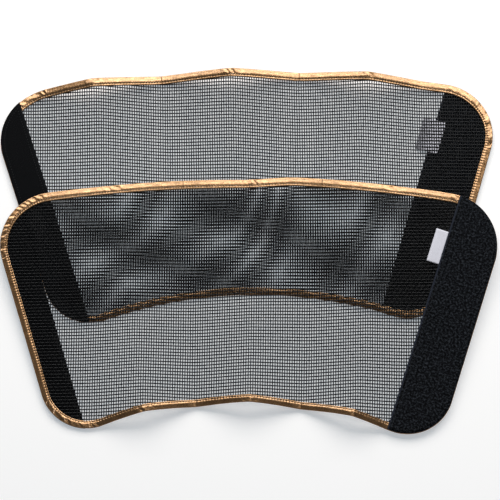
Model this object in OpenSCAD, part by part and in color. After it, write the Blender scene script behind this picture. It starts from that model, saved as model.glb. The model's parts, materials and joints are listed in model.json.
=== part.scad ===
// A left and right pair of fan-shaped mesh wrap screens, laid one over the other.
// Each screen is a sheet of open mesh cloth with a folded tape binding all round,
// a loop patch on one face at its right end, a hook patch on the other face at its
// left end, and a size label tucked under the loop patch. Three soft creases part
// each screen into four sections that fold on one another.
// The top screen has its loops on the upper face; the bottom screen is its mirror
// image, with its loops on the lower face.

/* [Screen outline] */
// Greatest width of a screen
panel_w = 469; // [420:2:520]
// Height of a screen on its centre line
panel_h = 223; // [190:2:250]
// Lean of each side edge away from the centre line, in degrees
half_angle = 16.8; // [15:0.1:19]
// Radius of the long top edge
top_r = 1190; // [1000:10:1600]
// Radius of the short bottom edge
bottom_r = 410; // [370:5:500]
// Radius of the two top corners
top_corner_r = 52; // [40:1:60]
// Radius of the two bottom corners
bottom_corner_r = 47; // [38:1:55]

/* [Mesh cloth] */
// Thickness of the mesh cloth
mesh_t = 0.9; // [0.6:0.1:1.4]
// How far the mesh stops short of the fold of its binding
mesh_setback = 1.8; // [1.4:0.1:2.6]
// Width of the bars in the plain grid that stands for the mesh's fine holes
mesh_bar = 7; // [5:0.5:9]
// Width of the strip of cloth that shows inside the binding
mesh_rim = 1.5; // [1:0.5:3]

/* [Binding tape] */
// Width of the folded tape on each face
tape_w = 7; // [5:0.5:10]
// Thickness of one layer of the tape
tape_t = 0.5; // [0.3:0.05:0.7]
// How far the tape puffs up between its stitches and its fold
tape_puff = 0.6; // [0.2:0.1:1]
// Distance from the tape's inner edge to its stitches
stitch_in = 1.4; // [1:0.1:2.5]
// Clearance between layers that are sewn face to face
fit = 0.05; // [0.03:0.01:0.1]

/* [Hook and loop patches] */
// Width of the top screen's loop patch
loop_w = 50; // [38:1:56]
// Width of the bottom screen's loop patch
under_loop_w = 58; // [44:1:62]
// Height of a loop patch above the binding, pile and all
loop_t = 1.8; // [1.2:0.1:2.6]
// Width of both hook patches
hook_w = 28; // [20:1:34]
// Height of a hook patch above the binding, hooks and all
hook_t = 1.3; // [1:0.1:2]
// Thickness of the woven backing of a patch
backing_t = 0.6; // [0.4:0.1:0.8]
// Width of the bare selvedge round the pile and the hooks
selvedge_w = 1.6; // [1:0.1:3]
// Width of tape left showing outside a patch
patch_inset = 0.9; // [0.5:0.1:2]

/* [Size label] */
// Width of the label, across the patch
label_w = 22; // [16:1:30]
// Length of the label, along the patch
label_l = 33; // [24:1:45]
// Thickness of the label
label_t = 0.35; // [0.25:0.05:0.45]
// How much of its width the label shows beside the patch
label_show = 12; // [6:1:16]
// Distance from the crown of the top edge down to the label
label_drop = 33; // [20:1:60]

/* [Creases] */
// Angle between neighbouring creases, in degrees
crease_angle = 8.9; // [8:0.1:9.4]
// Height of each ridge where its crease meets the free edge
crease_h = 14; // [6:0.5:17]
// Greatest angle from the top of an outer ridge down to its foot, in degrees
end_slope = 4.2; // [2:0.1:4.4]
// Slit between two sections at a crease
slit = 0.3; // [0.2:0.05:0.6]

/* [How the pair lies] */
// Distance from the bottom screen's middle to the top screen's middle
pair_step = 108; // [90:1:125]
// Sideways shift of the bottom screen
pair_shift = -0.7; // [-5:0.1:5]
// Turn of the top screen, in degrees
top_turn = -0.7; // [-2:0.1:2]
// Turn of the bottom screen, in degrees
under_turn = 0.8; // [-2:0.1:2]
// Shift of the top screen's creases, in degrees
top_crease_shift = 0.2; // [-0.5:0.1:0.5]
// Shift of the bottom screen's creases, in degrees
under_crease_shift = -1; // [-1.2:0.1:0.5]
// Clearance where the top screen rests on the bottom screen's ridges
rest_gap = 0.6; // [0.4:0.1:1]

/* [Hidden] */

// Openings across a middle section and down every section, and steps across each opening
open_across = 3;
open_down = 5;
open_steps = 2;
// Stations along an end section's arc, round one corner and down one side
end_arc_steps = 7;
corner_steps = 6;
side_steps = 3;
// Points round the half circle of the tape's fold
fold_steps = 4;

// Half the thickness of a bound edge, at its stitches and where it puffs up most
pinched_half = mesh_t / 2 + fit + tape_t;
puffed_half = pinched_half + tape_puff;
// Height of a patch's seat above the middle of the cloth
patch_seat = puffed_half + fit;

// Directions are bearings: 0 points up the screen, 90 to its right
function dirn(a) = [sin(a), cos(a)];
function bearing(v) = atan2(v[0], v[1]);
function lerp(a, b, t) = a + (b - a) * t;
function flip(p) = [-p[0], p[1]];
function reverse(list) = [for (i = [len(list) - 1 : -1 : 0]) list[i]];

// The outline. Its origin is the point where the two side edges would meet.
side_dir = dirn(half_angle);
side_out = dirn(half_angle + 90);
top_corner = ((panel_w / 2 - top_corner_r + top_corner_r * cos(half_angle)) / sin(half_angle))
    * side_dir - top_corner_r * side_out;
top_c = [0, top_corner[1] - sqrt(pow(top_r - top_corner_r, 2) - pow(top_corner[0], 2))];
crown_r = top_c[1] + top_r;
foot_r = crown_r - panel_h;
bottom_c = [0, foot_r - bottom_r];
corner_q = -bottom_corner_r * side_out - bottom_c;
corner_run = sqrt(pow(side_dir * corner_q, 2) - corner_q * corner_q
    + pow(bottom_r + bottom_corner_r, 2)) - side_dir * corner_q;
bottom_corner = corner_run * side_dir - bottom_corner_r * side_out;
top_end = bearing(top_corner - top_c);
bottom_end = bearing(bottom_corner - bottom_c);
middle = [0, crown_r - panel_h / 2];
lowest_y = bottom_corner[1] - bottom_corner_r;

// Where a ray from the origin at bearing a meets a circle about a centre c on the axis
function ray_hit(c, r, a) =
    (c[1] * cos(a) + sqrt(pow(r, 2) - pow(c[1] * sin(a), 2))) * dirn(a);
function top_hit(a, d) = ray_hit(top_c, top_r - d, a);
function bottom_hit(a, d) = ray_hit(bottom_c, bottom_r + d, a);

// The two edges of the right-hand end, from bearing a out to the side, d in from the edge.
// cuts holds the stations along the arc, as fractions of the way to the corner.
function end_top(a, d, cuts) = concat(
    [for (t = cuts) top_c + (top_r - d)
        * dirn(lerp(bearing(top_hit(a, d) - top_c), top_end, t))],
    [for (i = [1 : corner_steps]) top_corner + (top_corner_r - d)
        * dirn(lerp(top_end, 90 + half_angle, i / corner_steps))]);
function end_bottom(a, d, cuts) = concat(
    [for (t = cuts) bottom_c + (bottom_r + d)
        * dirn(lerp(bearing(bottom_hit(a, d) - bottom_c), bottom_end, t))],
    [for (i = [1 : corner_steps]) bottom_corner + (bottom_corner_r - d)
        * dirn(lerp(180 + bottom_end, 90 + half_angle, i / corner_steps))]);

// A screen is [crease shift, whether its free edge is the top one, lift of its left end,
// lift of its right end, face its loops are on, width of its loop patch]. The hook patch
// lifts the end that lies on it.
TOP = [top_crease_shift, false, hook_t + fit, loop_t + fit, 1, loop_w];
UNDER = [under_crease_shift, true, 0, loop_t + fit, -1, under_loop_w];
function crease(screen, i) = screen[0] + (i - 2) * crease_angle;
slit_angle = slit / 2 / foot_r * 180 / PI;

// The cloth lies flat from the inner edge of each patch outwards, so the outer ridges end there
function flat_from(w) = half_angle - asin(w / foot_r);
function left_slope(screen) = min(end_slope, flat_from(hook_w) + crease(screen, 1));
function right_slope(screen) = min(end_slope, flat_from(screen[5]) - crease(screen, 3));

// Stations across a middle section, and across an end section from its crease to its corner,
// as fractions of the way: a bar, then openings in steps, with a bar after each
middle_bar = mesh_bar / ((crown_r + foot_r) / 2 * crease_angle * PI / 180);
middle_open = (1 - (open_across + 1) * middle_bar) / open_across;
middle_cuts = concat([0], [for (n = [0 : open_across - 1], h = [0 : open_steps])
    middle_bar + n * (middle_open + middle_bar) + middle_open * h / open_steps], [1]);
end_bar = mesh_bar / ((crown_r + foot_r) / 2 * (half_angle - crease_angle) * PI / 180 - top_corner_r);
hook_cuts = [0, end_bar, end_bar + 1 / 4, end_bar + 1 / 2, 2 * end_bar + 1 / 2,
    for (h = [1 : 3]) lerp(2 * end_bar + 1 / 2, 1, h / 3)];
loop_cuts = [0, for (h = [0 : 5]) lerp(end_bar, 3 / 4, h / 5), 1];
row_bar = mesh_bar / (panel_h - 2 * tape_w - 2 * mesh_rim);
row_open = (1 - (open_down - 1) * row_bar) / open_down;
row_cuts = [for (n = [0 : open_down - 1], h = [0 : 1]) n * (row_open + row_bar) + h * row_open];

// Steps across section k that are left open, counted out from its crease in an end section
function open_cells(k) = k == 1 ? [1, 2, 4, 5, 6, 7] : k == 4 ? [1, 2, 3, 4, 5]
    : [for (i = [0 : len(middle_cuts) - 2]) if (i % (open_steps + 1) != 0) i];

// The edges of section k, from left to right, d in from the outer edge
function section_arc(screen, k) = [for (t = middle_cuts)
    lerp(crease(screen, k - 1) + slit_angle, crease(screen, k) - slit_angle, t)];
function top_edge(screen, k, d) =
    k == 1 ? reverse([for (p = end_top(slit_angle - crease(screen, 1), d, hook_cuts)) flip(p)])
    : k == 4 ? end_top(crease(screen, 3) + slit_angle, d, loop_cuts)
    : [for (a = section_arc(screen, k)) top_hit(a, d)];
function bottom_edge(screen, k, d) =
    k == 1 ? reverse([for (p = end_bottom(slit_angle - crease(screen, 1), d, hook_cuts)) flip(p)])
    : k == 4 ? end_bottom(crease(screen, 3) + slit_angle, d, loop_cuts)
    : [for (a = section_arc(screen, k)) bottom_hit(a, d)];

// The cloth's rise at a point: ridges along the creases, growing towards the free edge,
// and a step up to each end that lies on a patch
function ridge(t) = t >= 1 ? 0 : pow(1 - t, 1.5) * (1 + t / 2);
function step(t) = t <= 0 ? 0 : t >= 1 ? 1 : t * t * (3 - 2 * t);
function foot_at(a) = norm(bottom_hit(a, 0));
function freedom(screen, p) =
    (screen[1] ? norm(p) - foot_at(bearing(p)) : crown_r - norm(p)) / panel_h;
function from_crest(screen, a) =
    a < crease(screen, 1) ? (crease(screen, 1) - a) / left_slope(screen)
    : a > crease(screen, 3) ? (a - crease(screen, 3)) / right_slope(screen)
    : min([for (i = [1 : 3]) abs(a - crease(screen, i))]) / (crease_angle / 2);
function rise(screen, p) =
    crease_h * freedom(screen, p) * ridge(from_crest(screen, bearing(p)))
    + screen[2] * step((crease(screen, 1) - bearing(p)) / left_slope(screen))
    + screen[3] * step((bearing(p) - crease(screen, 3)) / right_slope(screen));
function lifted(screen, p, v) = [p[0], p[1], rise(screen, p) + v];

// A closed skin over a grid of points, seen from above with rows going up
// and columns going right, and the same grid again underneath. The cells in every
// second row of the columns named in open are left out, with walls round them. Each
// cell is split along the diagonal that keeps the skin inside the two curved faces.
module thick_net(upper, lower, open) {
    cols = len(upper) - 1;
    rows = len(upper[0]) - 1;
    points = concat([for (c = upper) each c], [for (c = lower) each c]);
    base = len(points) / 2;
    shut = [for (i = [0 : cols - 1]) len(search(i, open)) == 0];
    function at(i, j) = i * (rows + 1) + j;
    function kept(i, j) = i >= 0 && i < cols && j >= 0 && j < rows && (shut[i] || j % 2 == 0);
    function slack(a, b, c, d) = points[a][2] + points[c][2] - points[b][2] - points[d][2];
    function halves(a, b, c, d, across) = across ? [[b, c, d], [b, d, a]] : [[a, b, c], [a, c, d]];
    function wall(a, b) = [[a, b, base + b], [a, base + b, base + a]];
    polyhedron(points = points, faces = [
        for (i = [0 : cols - 1], j = [0 : rows - 1]) if (kept(i, j))
            let (a = at(i, j), b = at(i, j + 1), c = at(i + 1, j + 1), d = at(i + 1, j))
            each concat(
                halves(a, b, c, d, slack(a, b, c, d) > 0),
                halves(base + a, base + d, base + c, base + b,
                    slack(base + a, base + d, base + c, base + b) < 0),
                kept(i, j - 1) ? [] : wall(a, d),
                kept(i + 1, j) ? [] : wall(d, c),
                kept(i, j + 1) ? [] : wall(c, b),
                kept(i - 1, j) ? [] : wall(b, a))]);
}

// A closed bar through rings of points. Each ring holds an outer curve, then the inner
// curve of the same number of points backwards, so strips of triangles close both ends.
module swept(rings) {
    n = len(rings[0]);
    last = (len(rings) - 1) * n;
    polyhedron(
        points = [for (r = rings) each r],
        faces = concat(
            [for (i = [0 : n / 2 - 2]) let (o = n - 1 - i)
                each [[i, o - 1, i + 1], [i, o, o - 1]]],
            [for (i = [0 : n / 2 - 2]) let (o = n - 1 - i)
                each [[last + i, last + i + 1, last + o - 1], [last + i, last + o - 1, last + o]]],
            [for (k = [0 : len(rings) - 2], i = [0 : n - 1]) let (a = k * n + i, b = k * n + (i + 1) % n)
                each [[a, b + n, a + n], [a, b, b + n]]]));
}

// Mesh cloth of section k, opened in a plain grid. Its columns line up with the stations
// of the binding.
module mesh_section(screen, k) {
    edges = [mesh_setback, tape_w + mesh_rim];
    low = [for (d = edges) bottom_edge(screen, k, d)];
    high = [for (d = edges) top_edge(screen, k, d)];
    columns = [for (i = [0 : len(low[0]) - 1]) concat(
        [low[0][i]],
        [for (t = row_cuts) lerp(low[1][i], high[1][i], t)],
        [high[0][i]])];
    cells = len(columns) - 1;
    thick_net(
        [for (c = columns) [for (p = c) lifted(screen, p, mesh_t / 2)]],
        [for (c = columns) [for (p = c) lifted(screen, p, -mesh_t / 2)]],
        [for (i = open_cells(k)) k == 1 ? cells - 1 - i : i]);
}

// The tape's cross section: a U folded over the edge, as [distance in, height] pairs.
// It lies flat from its inner edge to the stitches, then puffs up and turns over the fold.
puff_at = (tape_w - stitch_in + puffed_half) / 2;
function folded(inset) = concat(
    [[tape_w, pinched_half - inset], [tape_w - stitch_in, pinched_half - inset],
     [puff_at, puffed_half - inset]],
    [for (i = [0 : fold_steps]) let (a = 90 - 180 * i / fold_steps)
        [puffed_half - (puffed_half - inset) * cos(a), (puffed_half - inset) * sin(a)]],
    [[puff_at, inset - puffed_half], [tape_w - stitch_in, inset - pinched_half],
     [tape_w, inset - pinched_half]]);
tape_section = concat(folded(0), reverse(folded(tape_t)));

// Rings of the tape's section along an edge. edges holds that edge at each distance in.
module tape_along(screen, edges) {
    swept([for (k = [0 : len(edges[0]) - 1]) [for (i = [0 : len(tape_section) - 1])
        lifted(screen, edges[i][k], tape_section[i][1])]]);
}

// One side of the right-hand end, between its two corners, without their own points
function side_points(top, bottom) =
    [for (i = [1 : side_steps]) lerp(top, bottom, i / (side_steps + 1))];

module binding_section(screen, k) {
    tops = [for (s = tape_section) top_edge(screen, k, s[0])];
    bottoms = [for (s = tape_section) reverse(bottom_edge(screen, k, s[0]))];
    last = len(tops[0]) - 1;
    if (k == 1)
        tape_along(screen, [for (i = [0 : len(tops) - 1])
            concat(bottoms[i], side_points(bottoms[i][last], tops[i][0]), tops[i])]);
    else if (k == 4)
        tape_along(screen, [for (i = [0 : len(tops) - 1])
            concat(tops[i], side_points(tops[i][last], bottoms[i][0]), bottoms[i])]);
    else {
        tape_along(screen, tops);
        tape_along(screen, bottoms);
    }
}

// Plan of a patch of width w along the right-hand side edge, cut back by d all round
patch_cuts = [for (i = [0 : end_arc_steps]) i / end_arc_steps];
module patch_plan(w, d) {
    intersection() {
        polygon(concat(end_top(0, patch_inset + d, patch_cuts),
            reverse(end_bottom(0, patch_inset + d, patch_cuts))));
        rotate(-half_angle) translate([-w + d, 0]) square([w, crown_r + panel_w]);
    }
}

// A patch on a flat end of a screen: woven backing with a raised field inside its selvedge.
// The field is raised away from the cloth, on the face named by side.
module patch(w, t) {
    translate([0, 0, patch_seat]) {
        linear_extrude(backing_t) patch_plan(w, 0);
        linear_extrude(t) patch_plan(w, selvedge_w);
    }
}

// Puts a right-hand patch or label on the given end and face of a screen
module on_end(screen, end, face) {
    lift = end < 0 ? screen[2] : screen[3];
    translate([0, 0, lift]) mirror([end < 0 ? 1 : 0, 0, 0]) mirror([0, 0, face < 0 ? 1 : 0]) children();
}

module size_label(patch_w) {
    down = crown_r - label_drop - label_l;
    rotate(-half_angle) translate([-patch_w - label_show, down, mesh_t / 2 + fit])
        linear_extrude(label_t) square([label_w, label_l]);
}

// Where each screen's middle lies, and the middle of the pair's outline in plan
top_at = [0, 0];
under_at = [pair_shift, pair_step];
function turned(p, a) = [p[0] * cos(a) - p[1] * sin(a), p[0] * sin(a) + p[1] * cos(a)];
function plan(p, turn, at) = at + turned(p - middle, turn);
corners_right = [plan(top_corner, top_turn, top_at), plan(top_corner, under_turn, under_at)];
corners_left = [plan(flip(top_corner), top_turn, top_at), plan(flip(top_corner), under_turn, under_at)];
right_x = max([for (c = corners_right) c[0]]) + top_corner_r;
left_x = min([for (c = corners_left) c[0]]) - top_corner_r;
back_y = plan(top_c, under_turn, under_at)[1] + top_r;
front_y = min(plan(bottom_corner, top_turn, top_at)[1],
    plan(flip(bottom_corner), top_turn, top_at)[1]) - bottom_corner_r;
pair_middle = [(left_x + right_x) / 2, (front_y + back_y) / 2];

// The bottom screen lies flat. The top one slopes up from its lowest point until its top
// edge rests on the other's ridges.
rest_spot = top_hit(crease_angle, 0);
ridge_there = crease_h * (norm(rest_spot) - pair_step - foot_at(crease_angle)) / panel_h
    + puffed_half + mesh_t / 2;
lie_angle = asin((ridge_there + rest_gap) / (rest_spot[1] - lowest_y));
module lay_under() {
    translate([under_at[0] - pair_middle[0], under_at[1] - pair_middle[1], puffed_half])
        rotate(under_turn) translate([0, -middle[1], 0]) children();
}
module lay_top() {
    translate([top_at[0] - pair_middle[0], top_at[1] - pair_middle[1], 0])
        rotate(top_turn) translate([0, lowest_y - middle[1], puffed_half])
        rotate([lie_angle, 0, 0]) translate([0, -lowest_y, 0]) children();
}

module top_mesh(k) { color("#3a3c40") lay_top() mesh_section(TOP, k); }
module top_binding(k) { color("#a87846") lay_top() binding_section(TOP, k); }
module top_loop_patch() { color("#1a1c20") lay_top() on_end(TOP, 1, TOP[4]) patch(TOP[5], loop_t); }
module top_hook_patch() { color("#111215") lay_top() on_end(TOP, -1, -TOP[4]) patch(hook_w, hook_t); }
module top_label() { color("#e2e2ec") lay_top() on_end(TOP, 1, TOP[4]) size_label(TOP[5]); }
module under_mesh(k) { color("#3a3c40") lay_under() mesh_section(UNDER, k); }
module under_binding(k) { color("#a87846") lay_under() binding_section(UNDER, k); }
module under_loop_patch() { color("#1a1c20") lay_under() on_end(UNDER, 1, UNDER[4]) patch(UNDER[5], loop_t); }
module under_hook_patch() { color("#111215") lay_under() on_end(UNDER, -1, -UNDER[4]) patch(hook_w, hook_t); }
module under_label() { color("#e2e2ec") lay_under() on_end(UNDER, 1, UNDER[4]) size_label(UNDER[5]); }

for (k = [1 : 4]) {
    top_mesh(k);
    top_binding(k);
    under_mesh(k);
    under_binding(k);
}
top_loop_patch();
top_hook_patch();
top_label();
under_loop_patch();
under_hook_patch();
under_label();
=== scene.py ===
"""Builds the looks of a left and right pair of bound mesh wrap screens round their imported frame."""

import json
import math

import bpy
import numpy as np
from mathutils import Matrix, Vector

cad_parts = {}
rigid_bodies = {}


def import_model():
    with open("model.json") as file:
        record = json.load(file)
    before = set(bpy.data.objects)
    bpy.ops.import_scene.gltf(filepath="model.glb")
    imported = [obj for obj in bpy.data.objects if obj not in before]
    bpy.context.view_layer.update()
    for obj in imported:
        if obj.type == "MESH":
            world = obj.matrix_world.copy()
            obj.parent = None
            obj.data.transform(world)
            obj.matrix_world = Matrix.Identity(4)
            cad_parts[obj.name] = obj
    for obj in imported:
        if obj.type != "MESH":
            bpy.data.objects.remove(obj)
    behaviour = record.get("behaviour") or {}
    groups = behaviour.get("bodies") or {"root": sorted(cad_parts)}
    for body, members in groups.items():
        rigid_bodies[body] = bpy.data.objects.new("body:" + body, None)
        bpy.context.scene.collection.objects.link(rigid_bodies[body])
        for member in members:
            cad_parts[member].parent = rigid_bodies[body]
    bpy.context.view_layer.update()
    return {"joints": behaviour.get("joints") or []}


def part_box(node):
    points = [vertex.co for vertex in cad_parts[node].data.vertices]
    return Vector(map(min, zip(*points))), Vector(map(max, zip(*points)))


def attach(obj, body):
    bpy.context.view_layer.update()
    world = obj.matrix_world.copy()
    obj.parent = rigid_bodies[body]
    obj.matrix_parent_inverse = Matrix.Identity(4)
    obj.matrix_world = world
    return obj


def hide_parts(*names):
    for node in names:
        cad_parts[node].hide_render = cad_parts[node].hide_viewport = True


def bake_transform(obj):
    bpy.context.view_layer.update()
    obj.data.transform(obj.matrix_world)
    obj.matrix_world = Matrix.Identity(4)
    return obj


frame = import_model()

bl_info = {
    "name": "Mesh Wrap Screen Pair",
    "version": (1, 0, 0),
    "blender": (4, 5, 0),
    "location": "View3D > Sidebar > Screens",
    "description": "Builds mesh, binding, patches and labels of a pair of wrap screens round their frame",
    "category": "Object",
}

MM = 0.001
SIDES = ("left", "middle", "right")
# Every random draw starts from this seed, so that each run gives the same screens
SEED = 11
# Greatest distance between the outline built here and the frame's own
FRAME_TOLERANCE = MM

# Cells of the three noises that move the net's crossings: a slow one, a wide one and a small one
DRIFT_CELL, WIDE_CELL, SMALL_CELL = 0.034, 0.02, 0.004

# Profile of the tape from its stitches to its crown: steps back, counted in distances from the
# tape's inner edge to its stitches, and heights, counted in heights of its crown
TAPE_RISE = ((-0.2, 0.0), (0.0, -0.3), (0.2, 0.1), (0.5, 0.65), (0.8, 0.9), (1.2, 1.0))
# Its profile from there towards the fold: the same steps back, and falls as shares of its droop
TAPE_FALL = ((1.8, 0.3), (2.4, 0.65))
# Depth of the tape's round fold, counted in its half height, and the bearings of its points in degrees
FOLD_DEPTH, FOLD_BENDS = 1.1, (78, -79, -13)
# Crinkles of the tape: their lengths along it and round it, and their shares of the crinkles' depth
CRINKLES = ((0.011, 0.006, 1.1), (0.0042, 0.0055, 0.8), (0.0015, 0.0028, 0.35))
# How much of the first two crinkles shows where the tape turns over the edge
EDGE_CRINKLES = (0.7, 0.5)
# Lengths along the tape and round it of the creases where it turns, and how far each slants
GATHER_CELL, GATHER_SLANT = (0.0024, 0.0045), 0.003
# How far creases reach along the tape on either side of a crest, and how far its ends stay smooth
CREST_REACH, SMOOTH_END = 0.0075, 0.004

# Stations of a stitch along its length, its girth there, and how far its ends dip in half threads
STITCH_ALONG = (-0.5, -0.42, -0.2, 0.2, 0.42, 0.5)
STITCH_GIRTH = (0.3, 0.85, 1.0, 1.0, 0.85, 0.3)
STITCH_DIP = (-1.1, -0.55, -0.05, -0.05, -0.55, -1.1)

# Path of a hook along and up, counted in its height, and its half thickness in millimetres
HOOK_PATH = ((0.0, -0.1), (0.0, 0.45), (0.08, 0.85), (0.42, 1.0), (0.66, 0.72))
HOOK_GIRTH = (0.2, 0.15, 0.14, 0.12, 0.06)
# Stations of a loop from one foot to the other, least and greatest spans and leans of the loops in
# millimetres, and their heights as shares of the pile's
LOOP_STATIONS = (0.0, 0.2, 0.42, 0.64, 0.86, 1.0)
LOOP_SPANS, LOOP_LEANS, LOOP_HEIGHTS = (0.5, 1.3), (-0.5, 0.5), (0.55, 1.0)

# Where the two lamps stand, and how large they are
LAMPS = {"key": ((0.15, 1.49, 1.34), (2.8, 1.5)), "glint": ((0.2, -0.32, 1.75), (0.22, 0.16))}


# ---------------------------------------------------------------- sizes and colours


def length(text, value, low=0.0):
    """A length in metres."""
    return bpy.props.FloatProperty(
        name=text, description=text, default=value, min=low, precision=5, unit="LENGTH", subtype="DISTANCE"
    )


def angle(text, degrees):
    """An angle, given here in degrees and kept in radians."""
    return bpy.props.FloatProperty(
        name=text, description=text, default=math.radians(degrees), unit="ROTATION", subtype="ANGLE"
    )


def colour(text, value):
    """A linear colour."""
    return bpy.props.FloatVectorProperty(
        name=text, description=text, default=value, size=3, min=0.0, max=1.0, subtype="COLOR"
    )


def number(text, value, low=0.0, high=100.0):
    """A plain number."""
    return bpy.props.FloatProperty(name=text, description=text, default=value, min=low, max=high)


def count(text, value, low=1, high=20000):
    """A whole number."""
    return bpy.props.IntProperty(name=text, description=text, default=value, min=low, max=high)


class OutlineSizes(bpy.types.PropertyGroup):
    """The flat outline that both screens share."""

    width: length("Greatest width of a screen", 0.469)
    height: length("Height of a screen on its centre line", 0.223)
    lean: angle("Lean of each side edge away from the centre line", 16.8)
    top_radius: length("Radius of the long top edge", 1.19)
    bottom_radius: length("Radius of the short bottom edge", 0.41)
    top_corner: length("Radius of the two top corners", 0.052)
    bottom_corner: length("Radius of the two bottom corners", 0.044)


class LaySizes(bpy.types.PropertyGroup):
    """The creases, and how the two screens lie."""

    crease_angle: angle("Angle between neighbouring creases", 8.9)
    crease_height: length("Height of a ridge where its crease meets the free edge", 0.014)
    crest_round: number("Roundness of a ridge's crest, as a share of half a section", 0.04, 0.0, 0.5)
    end_slope: angle("Greatest angle from an outer ridge down to its foot", 4.2)
    pair_step: length("Distance from the bottom screen's middle to the top screen's middle", 0.108)
    pair_shift: length("Sideways shift of the bottom screen", -0.0007, -0.1)
    top_turn: angle("Turn of the top screen", -0.7)
    under_turn: angle("Turn of the bottom screen", 0.8)
    top_crease_shift: angle("Shift of the top screen's creases", 0.2)
    under_crease_shift: angle("Shift of the bottom screen's creases", -1.0)
    draw_down: length("How far the top screen's long edge is drawn down on its left", 0.0038)
    draw_end: length("Where that drawing ends, right of the middle", 0.05)
    draw_reach: length("How far left of there it reaches its full depth", 0.06)
    foot_turn: angle("Extra turn of the top screen's short edge", -0.4)
    rest_gap: length("Clearance where the top screen rests on the bottom one", 0.0006)
    bend_width: length("Width of cloth that bends at a crease when a screen folds", 0.012)


class ClothSizes(bpy.types.PropertyGroup):
    """The open mesh cloth."""

    thickness: length("Thickness of the mesh cloth", 0.0009)
    warp_pitch: length("Distance between strands that run up the screen", 0.00226)
    weft_pitch: length("Distance between strands that run across the screen", 0.003216)
    warp_width: length("Width of a strand that runs up the screen", 0.00092)
    weft_width: length("Width of a strand that runs across the screen", 0.00119)
    warp_height: length("Thickness of a strand that runs up the screen", 0.0004)
    weft_height: length("Thickness of a strand that runs across the screen", 0.00048)
    weave: length("How far strands bend over and under each other", 0.00014)
    wander: length("How far strands stray from a straight grid", 0.00005)
    drift: length("How far the grid of strands drifts over long stretches", 0.00012)
    warp_ease: number("How much wider the top screen's upright strands lie, as a share", 0.012, -0.1, 0.1)
    weft_ease: number("How much wider the top screen's level strands lie, as a share", -0.034, -0.1, 0.1)
    slant: angle("Slant of the level strands, up to the right on the top screen and down on the other", 1.9)
    tuck: length("How far strands stop short of the binding's fold", 0.0024)


class BindingSizes(bpy.types.PropertyGroup):
    """The folded tape round the edge, and its stitches."""

    width: length("Width of the folded tape on each face", 0.007)
    top_share: number("Width of the tape on the long edge, as a share of its width", 1.2, 1.0, 1.4)
    thickness: length("Thickness of one layer of the tape", 0.0005)
    puff: length("How far the tape puffs up between its stitches and its fold", 0.0006)
    crown: number("Height of the tape's crown above its stitches, as a share of the puff", 0.45, 0.0, 1.0)
    droop: number("How far the tape falls from its crown to its fold, as a share of the puff", 0.88, 0.0, 1.5)
    stitch_in: length("Distance from the tape's inner edge to its stitches", 0.0014)
    fit: length("Clearance between sewn layers", 0.00005)
    stitch_pitch: length("Distance from one stitch to the next", 0.0027)
    stitch_length: length("Length of a stitch on the surface", 0.0011)
    thread: length("Thickness of the thread", 0.0006)
    station: length("Distance between the tape's cross sections", 0.00058)
    crinkle: length("Depth of the tape's fine crinkles", 0.00006)
    gather: length("Depth of the creases where the tape turns a corner or a crest", 0.00042)
    pucker: length("Depth of the puckers at the stitches", 0.00016)


class PatchSizes(bpy.types.PropertyGroup):
    """The loop and hook patches."""

    loop_width: length("Width of the top screen's loop patch", 0.05)
    under_loop_width: length("Width of the bottom screen's loop patch", 0.058)
    loop_height: length("Height of the loop patch above the binding", 0.0018)
    hook_width: length("Width of the hook patch", 0.0308)
    hook_height: length("Height of the hook patch above the binding", 0.0013)
    backing: length("Thickness of the woven backing", 0.0006)
    selvedge: length("Width of the bare selvedge", 0.0016)
    inset: length("Width of tape left showing outside a patch", 0.0002)
    seam: length("Distance from a patch's edge to its stitches", 0.0038)
    loops: count("Number of loops in a patch", 5200)
    loop_thread: length("Thickness of a loop's fibre", 0.00012)
    hook_pitch: length("Distance between hooks", 0.00125)


class LabelSizes(bpy.types.PropertyGroup):
    """The size label, left bare."""

    width: length("Width of the label, across the patch", 0.022)
    length: length("Length of the label, along the patch", 0.033)
    thickness: length("Thickness of the folded label", 0.00035)
    show: length("How much of its width shows beside the patch", 0.012)
    drop: length("Distance from the crown of the top edge down to the label", 0.033)
    curl: length("How far its free edge curls away from the mesh", 0.0006)


class Colours(bpy.types.PropertyGroup):
    """The colours of the finishes."""

    mesh: colour("Coated mesh", (0.004, 0.0043, 0.005))
    foil: colour("Bronze foil of the binding", (0.66, 0.385, 0.19))
    foil_deep: colour("Bronze foil where it is worn and creased", (0.17, 0.085, 0.03))
    pucker_shade_thread: colour("Thread of the binding", (0.03, 0.017, 0.009))
    black_thread: colour("Thread of the patches", (0.012, 0.013, 0.016))
    # The binding's thread is painted dark brown as the shade in the puckers at each stitch, where the real
    # thread matches the foil
    pile: colour("Loop pile", (0.004, 0.0046, 0.0056))
    selvedge: colour("Selvedge of the patches", (0.03, 0.035, 0.05))
    hooks: colour("Hook tape", (0.003, 0.0033, 0.004))
    label: colour("Label", (0.8, 0.8, 0.88))
    floor: colour("Floor", (0.82, 0.765, 0.715))
    glow: colour("Glow that whitens the floor for the camera", (0.345, 0.385, 0.42))


class StageSizes(bpy.types.PropertyGroup):
    """Camera, lights and floor."""

    elevation: angle("Height of the camera above the horizon", 72.15)
    distance: length("Distance of the camera", 3.9)
    view_width: length("Width that the camera sees at the screens", 0.4726)
    aim_x: length("Sideways aim of the camera", 0.0022, -1.0)
    aim_y: length("Aim of the camera up the screens", 0.00105, -1.0)
    floor_radius: length("Radius of the floor", 9.0)
    key_power: number("Strength of the soft light behind and above, in watts", 57.0, 0.0, 1000.0)
    glint_power: number("Strength of the small lamp overhead, in watts", 1.6, 0.0, 1000.0)
    room: number("Strength of the light from the room", 0.08, 0.0, 2.0)


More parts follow.
